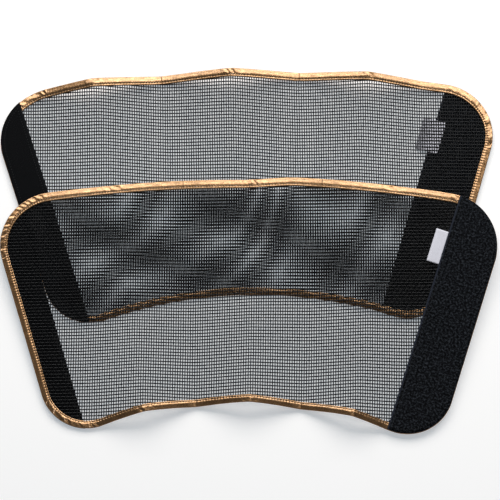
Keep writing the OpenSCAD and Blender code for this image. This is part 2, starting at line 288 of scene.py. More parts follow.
class WrapScreens(bpy.types.PropertyGroup):
    """Everything that the screens and their stage are built from."""

    outline: bpy.props.PointerProperty(type=OutlineSizes, name="Outline", description="Flat outline")
    lay: bpy.props.PointerProperty(type=LaySizes, name="Lay", description="Creases and lie of the pair")
    cloth: bpy.props.PointerProperty(type=ClothSizes, name="Cloth", description="Mesh cloth")
    binding: bpy.props.PointerProperty(type=BindingSizes, name="Binding", description="Folded tape")
    patches: bpy.props.PointerProperty(type=PatchSizes, name="Patches", description="Hook and loop patches")
    label: bpy.props.PointerProperty(type=LabelSizes, name="Label", description="Size label")
    colours: bpy.props.PointerProperty(type=Colours, name="Colours", description="Finishes")
    stage: bpy.props.PointerProperty(type=StageSizes, name="Stage", description="Camera, lights and floor")


def settings():
    """The settings kept on the scene."""
    return bpy.context.scene.wrap_screens


# ---------------------------------------------------------------- flat shape and lie of a screen


def toward(bearing):
    """Unit vectors at bearings: 0 points up the screen, a quarter turn to its right."""
    return np.stack([np.sin(bearing), np.cos(bearing)], -1)


def bearing_of(v):
    """Bearing of a vector."""
    return math.atan2(v[0], v[1])


def smooth(t):
    """A soft step from 0 to 1."""
    t = np.clip(t, 0.0, 1.0)
    return t * t * (3.0 - 2.0 * t)


def lattice_noise(u, v, seed):
    """Soft noise from -1 to 1 over a lattice of unit cells."""
    cells = (257, 263)
    table = np.random.default_rng(seed).uniform(-1.0, 1.0, cells)
    i, j = np.floor(u).astype(int), np.floor(v).astype(int)
    a, b = smooth(u - i), smooth(v - j)

    def corner(m, n):
        return table[(i + m) % cells[0], (j + n) % cells[1]]

    near = corner(0, 0) * (1 - a) + corner(1, 0) * a
    far = corner(0, 1) * (1 - a) + corner(1, 1) * a
    return near * (1 - b) + far * b


def distances(line):
    """Distance along a line from its start to each of its flat points."""
    return np.concatenate([[0.0], np.cumsum(np.hypot(*np.diff(line, axis=0).T))])


def points_at(at, along, line):
    """Flat points at distances along a line."""
    return np.stack([np.interp(at, along, line[:, i]) for i in (0, 1)], -1)


class FanOutline:
    """The flat outline. Its origin is the point where the two side edges would meet."""

    def __init__(self, s):
        self.lean = s.lean
        self.side = toward(s.lean)
        self.out = toward(s.lean + math.pi / 2)
        self.top_r = s.top_radius
        self.bottom_r = s.bottom_radius
        self.top_corner_r = s.top_corner
        self.bottom_corner_r = s.bottom_corner
        reach = (s.width / 2 - s.top_corner + s.top_corner * math.cos(s.lean)) / math.sin(s.lean)
        self.top_corner = reach * self.side - s.top_corner * self.out
        fall = math.sqrt((s.top_radius - s.top_corner) ** 2 - self.top_corner[0] ** 2)
        self.top_c = np.array([0.0, self.top_corner[1] - fall])
        self.crown = self.top_c[1] + s.top_radius
        self.foot = self.crown - s.height
        self.bottom_c = np.array([0.0, self.foot - s.bottom_radius])
        q = -s.bottom_corner * self.out - self.bottom_c
        along = self.side @ q
        run = math.sqrt(along**2 - q @ q + (s.bottom_radius + s.bottom_corner) ** 2) - along
        self.bottom_corner = run * self.side - s.bottom_corner * self.out
        self.top_end = bearing_of(self.top_corner - self.top_c)
        self.bottom_end = bearing_of(self.bottom_corner - self.bottom_c)
        self.middle = np.array([0.0, self.crown - s.height / 2])
        self.lowest = self.bottom_corner[1] - s.bottom_corner

    def arc_bearing(self, bearing, upper):
        """Bearing about the edge's own centre of the point where a ray from the origin meets that edge."""
        centre = self.top_c if upper else self.bottom_c
        radius = self.top_r if upper else self.bottom_r
        c = centre[1]
        reach = c * math.cos(bearing) + math.sqrt(radius**2 - (c * math.sin(bearing)) ** 2)
        return bearing_of(reach * toward(bearing) - centre)

    def lower_edge(self, bearing):
        """Distance from the origin to the bottom edge at bearings."""
        c = self.bottom_c[1]
        return c * np.cos(bearing) + np.sqrt(self.bottom_r**2 - (c * np.sin(bearing)) ** 2)

    def holds(self, x, y, inset):
        """Whether points lie inside the outline drawn in by inset."""
        p = np.stack([np.abs(x), y], -1)
        top = p - self.top_corner
        low = p - self.bottom_corner
        top_way = np.arctan2(top[..., 0], top[..., 1])
        low_way = np.arctan2(low[..., 0], low[..., 1]) % (2 * math.pi)
        side = self.lean + math.pi / 2
        in_top = (top_way > self.top_end) & (top_way < side)
        in_low = (low_way > side) & (low_way < math.pi + self.bottom_end)
        return (
            (np.hypot(*np.moveaxis(p - self.top_c, -1, 0)) < self.top_r - inset)
            & (np.hypot(*np.moveaxis(p - self.bottom_c, -1, 0)) > self.bottom_r + inset)
            & (-(p @ self.out) > inset)
            & ~(in_top & (np.hypot(top[..., 0], top[..., 1]) > self.top_corner_r - inset))
            & ~(in_low & (np.hypot(low[..., 0], low[..., 1]) > self.bottom_corner_r - inset))
        )

    def edge_run(self, upper, start, end, step):
        """Edge points and inward normals along the top or the bottom edge, from left to right."""
        centre, radius = (self.top_c, self.top_r) if upper else (self.bottom_c, self.bottom_r)
        a, b = self.arc_bearing(start, upper), self.arc_bearing(end, upper)
        n = max(2, round(abs(b - a) * radius / step))
        way = toward(np.linspace(a, b, n + 1))
        return centre + radius * way, -way if upper else way

    def end_run(self, start, step):
        """Edge points and inward normals round the right-hand end, from the top to the bottom edge."""
        side = self.lean + math.pi / 2

        def arc(centre, radius, a, b, inward):
            n = max(2, round(abs(b - a) * radius / step))
            way = toward(np.linspace(a, b, n + 1)[1:])
            return centre + radius * way, inward * way

        top = self.arc_bearing(start, True)
        low = self.arc_bearing(start, False)
        first = toward(np.array([top]))
        parts = [
            (self.top_c + self.top_r * first, -first),
            arc(self.top_c, self.top_r, top, self.top_end, -1),
            arc(self.top_corner, self.top_corner_r, self.top_end, side, -1),
        ]
        high = self.top_corner + self.top_corner_r * self.out
        deep = self.bottom_corner + self.bottom_corner_r * self.out
        n = round(np.hypot(*(high - deep)) / step)
        t = np.linspace(0, 1, n + 1)[1:, None]
        parts.append((high + (deep - high) * t, np.repeat(-self.out[None], n, 0)))
        turn = math.pi + self.bottom_end
        parts.append(arc(self.bottom_corner, self.bottom_corner_r, side, turn, -1))
        parts.append(arc(self.bottom_c, self.bottom_r, self.bottom_end, low, 1))
        return np.concatenate([p for p, _ in parts]), np.concatenate([n for _, n in parts])

    def edge_runs(self, part, splits, step):
        """The runs of edge of one side or the middle of a screen, each as points and inward normals."""
        if part == "middle":
            low = self.edge_run(False, *splits, step)
            return [self.edge_run(True, *splits, step), tuple(a[::-1] for a in low)]
        if part == "right":
            return [self.end_run(splits[1], step)]
        points, normals = self.end_run(-splits[0], step)
        flip = np.array([-1.0, 1.0])
        return [((points * flip)[::-1], (normals * flip)[::-1])]


class Screen:
    """One screen of the pair: its creases, its lifts, its faces and where it lies."""

    def __init__(self, name, s):
        self.name = name
        self.s = s
        self.flat = FanOutline(s.outline)
        self.is_top = name == "top"
        lay, fit = s.lay, s.binding.fit
        self.pinched = s.cloth.thickness / 2 + fit + s.binding.thickness
        self.puffed = self.pinched + s.binding.puff
        self.seat = self.puffed + fit
        self.shift = lay.top_crease_shift if self.is_top else lay.under_crease_shift
        self.left_lift = s.patches.hook_height + fit if self.is_top else 0.0
        self.right_lift = s.patches.loop_height + fit
        self.loop_face = 1 if self.is_top else -1
        self.loop_width = s.patches.loop_width if self.is_top else s.patches.under_loop_width
        self.left_slope = min(lay.end_slope, self.flat_from(s.patches.hook_width) + self.crease(1))
        self.right_slope = min(lay.end_slope, self.flat_from(self.loop_width) - self.crease(3))
        self.splits = [(self.crease(1) + self.crease(2)) / 2, (self.crease(2) + self.crease(3)) / 2]

    def crease(self, i):
        """Bearing of a crease, counted from the left."""
        return self.shift + (i - 2) * self.s.lay.crease_angle

    def flat_from(self, patch_width):
        """Bearing from which the cloth lies flat under a patch of that width."""
        return self.flat.lean - math.asin(patch_width / self.flat.foot)

    def off_crease(self, bearing):
        """Angle from bearings to the nearest crease."""
        return np.min([np.abs(bearing - self.crease(i)) for i in (1, 2, 3)], axis=0)

    def rise(self, x, y):
        """Height of the cloth's middle above the flat, with its ridges and its lifted ends."""
        lay, flat = self.s.lay, self.flat
        bearing, radius = np.arctan2(x, y), np.hypot(x, y)
        span = flat.crown - flat.foot
        free = (flat.crown - radius if self.is_top else radius - flat.lower_edge(bearing)) / span
        left, right = self.crease(1) - bearing, bearing - self.crease(3)
        t = self.off_crease(bearing) / (lay.crease_angle / 2)
        t = np.where(left > 0, left / self.left_slope, np.where(right > 0, right / self.right_slope, t))
        t = np.clip(np.hypot(t, lay.crest_round) - lay.crest_round, 0.0, 1.0)
        ridge = lay.crease_height * free * (1 - t) ** 1.5 * (1 + t / 2)
        left_end = self.left_lift * smooth(left / self.left_slope)
        return ridge + left_end + self.right_lift * smooth(right / self.right_slope)

    def drawn(self, x, y):
        """How far the soft top screen is pulled out of its flat shape, up the screen."""
        if not self.is_top:
            return 0.0
        lay, flat = self.s.lay, self.flat
        share = smooth((np.hypot(x, y) - flat.foot) / (flat.crown - flat.foot))
        down = lay.draw_down * smooth((lay.draw_end - x) / lay.draw_reach)
        return x * math.tan(lay.foot_turn) * (1 - share) - down * share

    def place(self, x, y, z):
        """Points of the flat screen, with heights, put where they lie in the row frame."""
        y = y + self.drawn(x, y)
        at, turn, lean, pivot = pair_layout(self.s)[self.name]
        c, s = math.cos(lean), math.sin(lean)
        up = y - pivot
        y, z = up * c - z * s + pivot - self.flat.middle[1], up * s + z * c + self.puffed
        c, s = math.cos(turn), math.sin(turn)
        return np.stack([x * c - y * s + at[0], x * s + y * c + at[1], z], -1)

    def lifted(self, x, y, height):
        """Points at a height above the cloth's middle, in the row frame."""
        return self.place(x, y, self.rise(x, y) + height)

    def bend(self, piece, part):
        """Looks up the joint at the crease that a side or the middle of the screen has, and bakes the piece's
        place into its points.
        """
        first = SIDES.index(part) + 1
        bodies = [f"{self.name}_section_{k}" for k in (first, first + 1)]
        joint = next(j for j in frame["joints"] if {j["parent"], j["child"]} == set(bodies))
        axis = Vector(joint["axis"])
        across = axis.cross(Vector((0, 0, 1))).normalized()
        if across.x < 0:
            across.negate()
        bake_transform(piece)

    def cad_nodes(self, kind, part):
        """The frame's nodes that a side or the middle of the screen stands for."""
        sections = {"left": [1], "middle": [2, 3], "right": [4]}[part]
        return [f"{self.name}_{kind}_{k}" for k in sections]


def turned(p, a):
    """A flat point turned about the origin."""
    return np.array([p[0] * math.cos(a) - p[1] * math.sin(a), p[0] * math.sin(a) + p[1] * math.cos(a)])


def pair_layout(s):
    """Where each screen lies: its middle, its turn, its lean and the line that it leans about."""
    flat, lay = FanOutline(s.outline), s.lay
    apart = np.array([lay.pair_shift, lay.pair_step])
    spots = {"top": (np.zeros(2), lay.top_turn), "under": (apart, lay.under_turn)}
    flip = np.array([-1.0, 1.0])
    right = max((at + turned(flat.top_corner - flat.middle, a))[0] for at, a in spots.values())
    left = min((at + turned(flat.top_corner * flip - flat.middle, a))[0] for at, a in spots.values())
    at, a = spots["under"]
    back = (at + turned(flat.top_c - flat.middle, a))[1] + flat.top_r
    at, a = spots["top"]
    corners = (flat.bottom_corner, flat.bottom_corner * flip)
    front = min((at + turned(c - flat.middle, a))[1] for c in corners) - flat.bottom_corner_r
    centre = np.array([(left + right) / 2, (front + back) / 2])
    rest = flat.top_c + flat.top_r * toward(flat.arc_bearing(lay.crease_angle, True))
    puffed = s.cloth.thickness / 2 + s.binding.fit + s.binding.thickness + s.binding.puff
    share = (np.hypot(*rest) - lay.pair_step - flat.lower_edge(lay.crease_angle)) / (flat.crown - flat.foot)
    ridge = lay.crease_height * share + puffed + s.cloth.thickness / 2
    lean = math.asin((ridge + lay.rest_gap) / (rest[1] - flat.lowest))
    return {
        "top": (spots["top"][0] - centre, lay.top_turn, lean, flat.lowest),
        "under": (spots["under"][0] - centre, lay.under_turn, 0.0, flat.lowest),
    }


def both_screens():
    """The two screens, as the settings describe them."""
    s = settings()
    return [Screen("top", s), Screen("under", s)]


def check_against_frame():
    """Stops the script if the settings don't describe the frame's own screens."""
    for screen in both_screens():
        points, _ = screen.flat.edge_runs("right", screen.splits, 0.002)[0]
        edge = screen.lifted(points[:, 0], points[:, 1], 0.0)
        edge[:, 1] -= screen.drawn(points[:, 0], points[:, 1])
        low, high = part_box(f"{screen.name}_binding_4")
        if max(abs(edge[:, 0].max() - high.x), abs(edge[:, 1].min() - low.y)) > FRAME_TOLERANCE:
            raise ValueError(f"the settings of the {screen.name} screen don't match the packed frame")


# ---------------------------------------------------------------- mesh making


def make_piece(name, points, faces, uv=None):
    """A new mesh object from points and arrays of faces, with smooth faces that point outwards."""
    points = np.asarray(points, float).reshape(-1, 3)
    faces = [np.asarray(f, int) for f in faces if len(f)]
    fans = np.concatenate([f[:, [0, i, i + 1]] for f in faces for i in range(1, f.shape[1] - 1)])
    a, b, c = (points[fans[:, i]] for i in range(3))
    if np.einsum("ij,ij->", a, np.cross(b, c)) < 0:
        faces = [f[:, ::-1] for f in faces]
    corners = np.concatenate([f.ravel() for f in faces])
    sizes = np.concatenate([np.full(len(f), f.shape[1]) for f in faces])
    mesh = bpy.data.meshes.new(name)
    mesh.vertices.add(len(points))
    mesh.vertices.foreach_set("co", points.astype(np.float32).ravel())
    mesh.loops.add(len(corners))
    mesh.loops.foreach_set("vertex_index", corners.astype(np.int32))
    mesh.polygons.add(len(sizes))
    mesh.polygons.foreach_set("loop_start", (np.cumsum(sizes) - sizes).astype(np.int32))
    mesh.update(calc_edges=True)
    mesh.polygons.foreach_set("use_smooth", np.ones(len(sizes), bool))
    if uv is not None:
        layer = mesh.uv_layers.new(name="lay")
        layer.data.foreach_set("uv", np.asarray(uv, np.float32).reshape(-1, 2)[corners].ravel())
    mesh.validate()
    piece = bpy.data.objects.new(name, mesh)
    bpy.context.scene.collection.objects.link(piece)
    return piece


def tube_faces(rings, sides, closed_ends=True):
    """Faces of a tube through rings of points, counted one ring after the other, and its two ends."""
    i = np.arange(rings - 1)[:, None] * sides
    k = np.arange(sides)[None]
    nxt = (k + 1) % sides
    quads = np.stack([i + k, i + nxt, i + sides + nxt, i + sides + k], -1).reshape(-1, 4)
    if not closed_ends:
        return [quads]
    ends = np.stack([np.arange(sides)[::-1], (rings - 1) * sides + np.arange(sides)])
    return [quads, ends]


def many(faces, copies, points_each):
    """The same faces again for each of many copies of a small form."""
    shift = (np.arange(copies) * points_each)[:, None, None]
    return [(f[None] + shift).reshape(-1, f.shape[1]) for f in faces]


def dress(piece, material):
    """Gives a piece its material."""
    piece.data.materials.append(material)


# ---------------------------------------------------------------- the mesh cloth


class Net:
    """The crossing points of a screen's strands, and the pieces of strand between them."""

    def __init__(self, screen):
        cloth, flat = screen.s.cloth, screen.flat
        self.screen = screen
        half = 0.5 if screen.is_top else -0.5
        self.warp_pitch = cloth.warp_pitch * (1 + half * cloth.warp_ease)
        self.weft_pitch = cloth.weft_pitch * (1 + half * cloth.weft_ease)
        across = math.ceil(screen.s.outline.width / 2 / self.warp_pitch) + 1
        slope = 2 * half * math.tan(cloth.slant)
        spare = 1 + math.ceil(abs(slope) * screen.s.outline.width / 2 / self.weft_pitch)
        low = math.floor(flat.lowest / self.weft_pitch) - spare
        high = math.ceil(flat.crown / self.weft_pitch) + spare
        columns = (np.arange(-across, across) + 0.5) * self.warp_pitch
        rows = np.arange(low, high) * self.weft_pitch
        self.x, self.y = (g.copy() for g in np.meshgrid(columns, rows, indexing="ij"))
        self.y += slope * self.x
        self.inside = flat.holds(self.x, self.y, cloth.tuck)
        crossing = np.add.outer(np.arange(len(columns)), np.arange(len(rows)))
        self.over = np.where(crossing % 2 == 0, 1.0, -1.0)
        seed = SEED + (1 if screen.is_top else 2)
        stray, long, wide, small = cloth.wander, DRIFT_CELL, WIDE_CELL, SMALL_CELL
        # The whole numbers only keep the six noises apart
        self.x += stray * (
            lattice_noise(self.x / wide + 40, self.y / wide, seed)
            + 0.5 * lattice_noise(self.x / small + 90, self.y / wide, seed + 10)
        ) + cloth.drift * lattice_noise(self.x / long + 60, self.y / long + 5, seed + 40)
        self.y += stray * (
            lattice_noise(self.x / wide + 40, self.y / wide, seed + 20)
            + 0.5 * lattice_noise(self.x / wide + 90, self.y / small, seed + 30)
        ) + cloth.drift * lattice_noise(self.x / long + 80, self.y / long + 5, seed + 50)

    def part_of(self, x, y):
        """Number of the side or middle that points belong to."""
        bearing = np.arctan2(x, y)
        return (bearing > self.screen.splits[0]).astype(int) + (bearing > self.screen.splits[1])

    def strands(self, part, runs_up):
        """Rings of points, faces and flat places of the strands of one part that run up or across."""
        cloth = self.screen.s.cloth
        x, y, inside, over = self.x, self.y, self.inside, self.over
        if not runs_up:
            x, y, inside, over = x.T, y.T, inside.T, -over.T
        wide = cloth.warp_width if runs_up else cloth.weft_width
        tall = cloth.warp_height if runs_up else cloth.weft_height
        held = inside[:, 1:] & inside[:, :-1]
        mid_x, mid_y = (x[:, 1:] + x[:, :-1]) / 2, (y[:, 1:] + y[:, :-1]) / 2
        held &= self.part_of(mid_x, mid_y) == SIDES.index(part)
        used = np.zeros_like(inside)
        used[:, 1:] |= held
        used[:, :-1] |= held
        number = np.cumsum(used).reshape(used.shape) - 1
        cx, cy, up = x[used], y[used], over[used] * cloth.weave
        ring = np.array([(0.5, 0.0), (0.0, 0.5), (-0.5, 0.0), (0.0, -0.5)])
        side = ring[:, 0] * wide
        px = cx[:, None] + (side if runs_up else 0 * side)
        py = cy[:, None] + (0 * side if runs_up else side)
        height = up[:, None] + ring[:, 1] * tall
        points = self.screen.lifted(px, py, height).reshape(-1, 3)
        flat = np.stack([px / MM, py / MM], -1).reshape(-1, 2)
        sides = len(ring)
        a = number[:, :-1][held][:, None] * sides
        b = number[:, 1:][held][:, None] * sides
        k = np.arange(sides)
        nxt = (k + 1) % sides
        quads = np.stack([a + k, a + nxt, b + nxt, b + k], -1).reshape(-1, 4)
        starts = used.copy()
        starts[:, 1:] &= ~held
        ends = used.copy()
        ends[:, :-1] &= ~held
        first = number[starts][:, None] * sides + k[::-1]
        last = number[ends][:, None] * sides + k
        faces = np.concatenate([quads, first, last])
        return points, faces if runs_up else faces[:, ::-1], flat


def build_cloth(screen):
    """The mesh of one screen: woven strands, in a left, a middle and a right piece."""
    net = Net(screen)
    for part in SIDES:
        up, up_faces, up_flat = net.strands(part, True)
        over, over_faces, over_flat = net.strands(part, False)
        piece = make_piece(
            f"{screen.name}_mesh_{part}",
            np.concatenate([up, over]),
            [up_faces, over_faces + len(up)],
            np.concatenate([up_flat, over_flat]),
        )
        dress(piece, coated_mesh())
        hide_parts(*screen.cad_nodes("mesh", part))
        screen.bend(piece, part)


# ---------------------------------------------------------------- the binding


def tape_section(screen):
    """The tape's folded cross section: distances in and heights, outside and back along the inside."""
    b = screen.s.binding
    flat, rise, droop = screen.pinched, b.puff * b.crown, b.puff * b.droop
    high = flat + rise
    stitch = b.width - b.stitch_in
    fold = high - droop
    bow = fold * FOLD_DEPTH
    raw_edge = [
        (b.width, flat - b.thickness * 0.35),
        (b.width - b.thickness * 0.2, flat),
        (b.width - b.stitch_in * 0.5, flat + rise * 0.2),
    ]
    rising = [(stitch - b.stitch_in * back, flat + rise * up) for back, up in TAPE_RISE]
    falling = [(stitch - b.stitch_in * back, high - droop * down) for back, down in TAPE_FALL]
    top = [*raw_edge, *rising, *falling, (bow, fold)]
    turn = [(bow * (1 - math.cos(a)), fold * math.sin(a)) for a in np.radians(np.arange(*FOLD_BENDS))]
    outside = top + turn + [(d, -v) for d, v in top[::-1]]
    inner, low = high - b.thickness, flat - b.thickness
    inside = [(b.width, low), (stitch, low), (high * 2.2, inner), (b.thickness * 1.5, inner * 0.6)]
    inside += [(d, -v) for d, v in inside[::-1]]
    return np.array(outside + inside[::-1]), len(outside)


def tape_spread(binding, normals):
    """The tape's width at each point of an edge, as a share of its width: it is wider along the top."""
    return 1 + (binding.top_share - 1) * smooth(-normals[:, 1:2])


def tape_run(screen, points, normals, seed):
    """Rings of points along one run of edge, crinkled, and their places on the tape in millimetres."""
    b = screen.s.binding
    section, outside = tape_section(screen)
    along = distances(points)
    d = np.repeat(section[None, :, 0], len(points), 0)
    v = np.repeat(section[None, :, 1], len(points), 0)
    s = np.repeat(along[:, None], len(section), 1)
    r = np.repeat(distances(section)[None], len(points), 0)
    is_outside = np.arange(len(section)) < outside

    def noise(long, round_it, slant, n):
        # The whole numbers only keep the tape clear of the noise's own corner
        return lattice_noise(s / long + slant + 300, r / round_it + 60, seed + n)

    coarse, ripple, fine = (noise(long, girth, 0.0, n) for n, (long, girth, _) in enumerate(CRINKLES))
    shares = [share for _, _, share in CRINKLES]
    crinkled = shares[0] * coarse + shares[1] * ripple + shares[2] * fine
    folds = noise(GATHER_CELL[0], GATHER_CELL[1], r / GATHER_SLANT, len(CRINKLES))
    # Where the tape turns a corner or a crest it is gathered, and its ends meet the next piece smoothly.
    # A corner counts from half the curvature of the top corners, and a crest fades beyond its reach
    turning = np.hypot(*np.gradient(normals, along, axis=0).T) * screen.s.outline.top_corner
    at_corner = np.clip(turning - 0.5, 0.0, 0.5) * 2
    from_crest = screen.off_crease(np.arctan2(*points.T)) * np.hypot(*points.T)
    at_crest = np.clip(1.6 - from_crest / CREST_REACH, 0.0, 1.0)
    gathered = (at_corner + at_crest)[:, None]
    ends = np.clip(np.minimum(s, along[-1] - s) / SMOOTH_END, 0.0, 1.0)
    # Its crinkles fade towards the stitches, which pull it in one by one
    way = np.sign(v) * is_outside
    from_stitches = b.width - b.stitch_in - d
    crown = np.clip(from_stitches / (2 * MM), 0.0, 1.0)
    stitched = np.exp(-((from_stitches / (1.6 * b.stitch_in)) ** 2))
    pulled = 0.5 + 0.5 * np.cos(2 * math.pi * s / b.stitch_pitch)
    v = v + way * ends * crown * (b.crinkle * crinkled + b.gather * gathered * folds)
    v = v - way * b.pucker * stitched * pulled
    at_fold = (d < 0.4 * screen.puffed) & is_outside
    d = d + at_fold * b.crinkle * ends * (EDGE_CRINKLES[0] * coarse + EDGE_CRINKLES[1] * ripple)
    d = d * tape_spread(b, normals)
    x = points[:, 0:1] + normals[:, 0:1] * d
    y = points[:, 1:2] + normals[:, 1:2] * d
    return screen.lifted(x, y, v), np.stack([s / MM, r / MM], -1)


def build_binding(screen):
    """The folded tape of one screen, in a left, a middle and a right piece."""
    for side, part in enumerate(SIDES):
        points, faces, flat, base = [], [], [], 0
        runs = screen.flat.edge_runs(part, screen.splits, screen.s.binding.station)
        for n, (edge, normals) in enumerate(runs):
            rings, uv = tape_run(screen, edge, normals, SEED + 40 * n + 7 * side + screen.is_top)
            faces += [f + base for f in tube_faces(*rings.shape[:2])]
            base += rings.shape[0] * rings.shape[1]
            points.append(rings.reshape(-1, 3))
            flat.append(uv.reshape(-1, 2))
        name = f"{screen.name}_binding_{part}"
        piece = make_piece(name, np.concatenate(points), faces, np.concatenate(flat))
        dress(piece, bronze_foil())
        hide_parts(*screen.cad_nodes("binding", part))
        screen.bend(piece, part)


# ---------------------------------------------------------------- stitches


def ring_of(sides, start=0.0):
    """Bearings of the corners of a round section, from a share of a side on."""
    return (np.arange(sides) + start) * 2 * math.pi / sides


def stitch_form(long, thick, sides=5):
    """A stitch: a short thread whose ends dip, as places along, across and up, with its faces."""
    girth = np.array(STITCH_GIRTH)[:, None]
    dip = np.array(STITCH_DIP)[:, None] * thick * 0.5
    a = ring_of(sides)
    along = np.repeat(np.array(STITCH_ALONG)[:, None] * long, sides, 1)
    across = girth * np.cos(a) * thick / 2
    up = girth * np.sin(a) * thick / 2 + dip
    return along.ravel(), across.ravel(), up.ravel(), tube_faces(len(girth), sides)


def stitch_row(screen, edge, normals, inset, height, sizes):
    """Points of a row of stitches along an edge, at an inset and a height on one face."""
    pitch, long, thick = sizes
    line = edge + normals * inset
    along = distances(line)
    n = round(along[-1] / pitch)
    at = (np.arange(n) + 0.5) * along[-1] / n
    cx, cy = points_at(at, along, line).T[..., None]
    nx, ny = points_at(at, along, normals).T[..., None]
    a, c, u, faces = stitch_form(long, thick)
    face = math.copysign(1.0, height)
    z = height + face * np.repeat(u[None], n, 0)
    points = screen.lifted(cx + ny * a + nx * c, cy - nx * a + ny * c, z)
    return points.reshape(-1, 3), many(faces, n, len(a)), face


def gather(rows):
    """Joins rows of points and faces, turning the faces of those that lie on a lower face."""
    points, faces, base = [], [], 0
    for row, row_faces, face in rows:
        points.append(row)
        faces += [(f if face > 0 else f[:, ::-1]) + base for f in row_faces]
        base += len(row)
    return np.concatenate(points), faces


def build_stitches(screen):
    """The binding's stitches on both faces, in a left, a middle and a right piece."""
    b = screen.s.binding
    sizes = (b.stitch_pitch, b.stitch_length, b.thread)
    height = screen.pinched + b.thread * 0.1
    for part in SIDES:
        rows = []
        for edge, normals in screen.flat.edge_runs(part, screen.splits, 0.002):
            inset = (b.width - b.stitch_in) * tape_spread(b, normals)
            for face in (1, -1):
                rows.append(stitch_row(screen, edge, normals, inset, face * height, sizes))
        points, faces = gather(rows)
        piece = make_piece(f"{screen.name}_stitches_{part}", points, faces)
        # The binding's thread takes a dark brown that paints the shade of the puckers at each stitch
        dress(piece, sewing_thread("binding thread", settings().colours.pucker_shade_thread))
        screen.bend(piece, part)


# ---------------------------------------------------------------- hook and loop patches


class Patch:
    """A patch on one end and one face of a screen. Its plan is worked out at the right-hand end."""

    def __init__(self, screen, kind):
        p, is_loop = screen.s.patches, kind == "loop"
        self.screen = screen
        self.kind = kind
        self.is_loop = is_loop
        self.width = screen.loop_width if is_loop else p.hook_width
        self.inset = p.inset
        self.end = 1 if is_loop else -1
        self.face = screen.loop_face * self.end
        self.lift = screen.right_lift if is_loop else screen.left_lift
        self.body = f"{screen.name}_section_{4 if is_loop else 1}"
        self.slot = "loop_pile" if is_loop else "hook_tape"
        height = p.loop_height if is_loop else p.hook_height
        self.field = p.backing + (height - p.backing) * (0.45 if is_loop else 0.12)
        self.groove = p.backing + (self.field - p.backing) * 0.3
        self.edge, self.normals = screen.flat.end_run(screen.splits[1], 0.001)

    def depth(self, x, y):
        """Distance of plan points from the side edge line."""
        return -(np.stack([x, y], -1) @ self.screen.flat.out)

    def loop_at(self, draw_in, curve_points, line_points):
        """A closed line round the patch, drawn in: first its curved edge, then its straight one."""
        curve = self.edge + self.normals * (self.inset + draw_in)
        depth = self.depth(*curve.T)
        limit = self.width - draw_in
        inside = np.flatnonzero(depth < limit)
        first, last = inside[0], inside[-1]

        def crossing(a, b):
            t = (limit - depth[a]) / (depth[b] - depth[a])
            return curve[a] + (curve[b] - curve[a]) * t

        ends = [crossing(first, first - 1)], [crossing(last, last + 1)]
        kept = np.concatenate([ends[0], curve[first : last + 1], ends[1]])
        along = distances(kept)
        outer = points_at(np.linspace(0, along[-1], curve_points), along, kept)
        t = np.linspace(0, 1, line_points + 2)[1:-1, None]
        return np.concatenate([outer, outer[-1] + (outer[0] - outer[-1]) * t])

    def flat_places(self, x, y):
        """Distances in millimetres of plan points from the inner straight edge and from the fan's origin."""
        return np.stack([(self.width - self.depth(x, y)) / MM, np.hypot(x, y) / MM], -1)

    def field_holds(self, x, y, margin):
        """Whether plan points lie on the field, margin inside its edges."""
        inside = self.screen.flat.holds(x, y, self.inset + margin)
        return inside & (self.depth(x, y) < self.width - margin)

    def put(self, x, y, height):
        """Plan points, with heights above the patch's seat, put where they lie in the row frame."""
        return self.screen.place(self.end * x, y, self.lift + self.face * (self.screen.seat + height))

    def finish(self, piece, material, slot):
        """Dresses a piece of the patch and lets it ride on the patch's section."""
        dress(piece, material)
        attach(piece, self.body)

    def plant(self, name, px, py, pz, stations, material):
        """Makes one piece of many small tubes that stand on the field."""
        sides = px.shape[-1]
        points = self.put(px, py, pz).reshape(-1, 3)
        places = self.flat_places(px, py).reshape(-1, 2)
        faces = many(tube_faces(stations, sides), len(px), stations * sides)
        self.finish(make_piece(f"{self.screen.name}_{name}", points, faces, places), material, self.slot)


def patch_body(patch, profile, material, uneven):
    """The patch's body from a list of draw-ins and heights, from its seat up over its edge to its field."""
    curve_points, line_points, grain = 220, 90, 0.004
    rings, places = [], []
    for draw_in, height in profile:
        x, y = patch.loop_at(draw_in, curve_points, line_points).T
        rough = uneven * lattice_noise(x / grain + 50, y / grain, SEED + 5) * (height > uneven)
        rings.append(patch.put(x, y, height + rough))
        places.append(patch.flat_places(x, y))
    n = curve_points + line_points
    faces = tube_faces(len(rings), n, closed_ends=False)
    ends = [fill_strip(0, curve_points, n)[:, ::-1], fill_strip((len(rings) - 1) * n, curve_points, n)]
    name = f"{patch.screen.name}_{patch.kind}_patch"
    piece = make_piece(f"{name}_body", np.concatenate(rings), faces + ends, np.concatenate(places))
    patch.finish(piece, material, patch.slot)
    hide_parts(name)


def fill_strip(base, curve_points, n):
    """Triangles that close a ring by joining its curved part to its straight part."""
    line = np.concatenate([[0], np.arange(n - 1, curve_points - 1, -1), [curve_points - 1]])
    curve = np.arange(curve_points)
    triangles, i, j = [], 0, 0
    i_end, j_end = len(curve) - 1, len(line) - 1
    while i < i_end or j < j_end:
        if j == j_end or (i < i_end and i * j_end <= j * i_end):
            triangles.append((curve[i], curve[i + 1], line[j]))
            i += 1
        else:
            triangles.append((curve[i], line[j + 1], line[j]))
            j += 1
    kept = [t for t in triangles if len(set(t)) == 3]
    return np.array(kept) + base


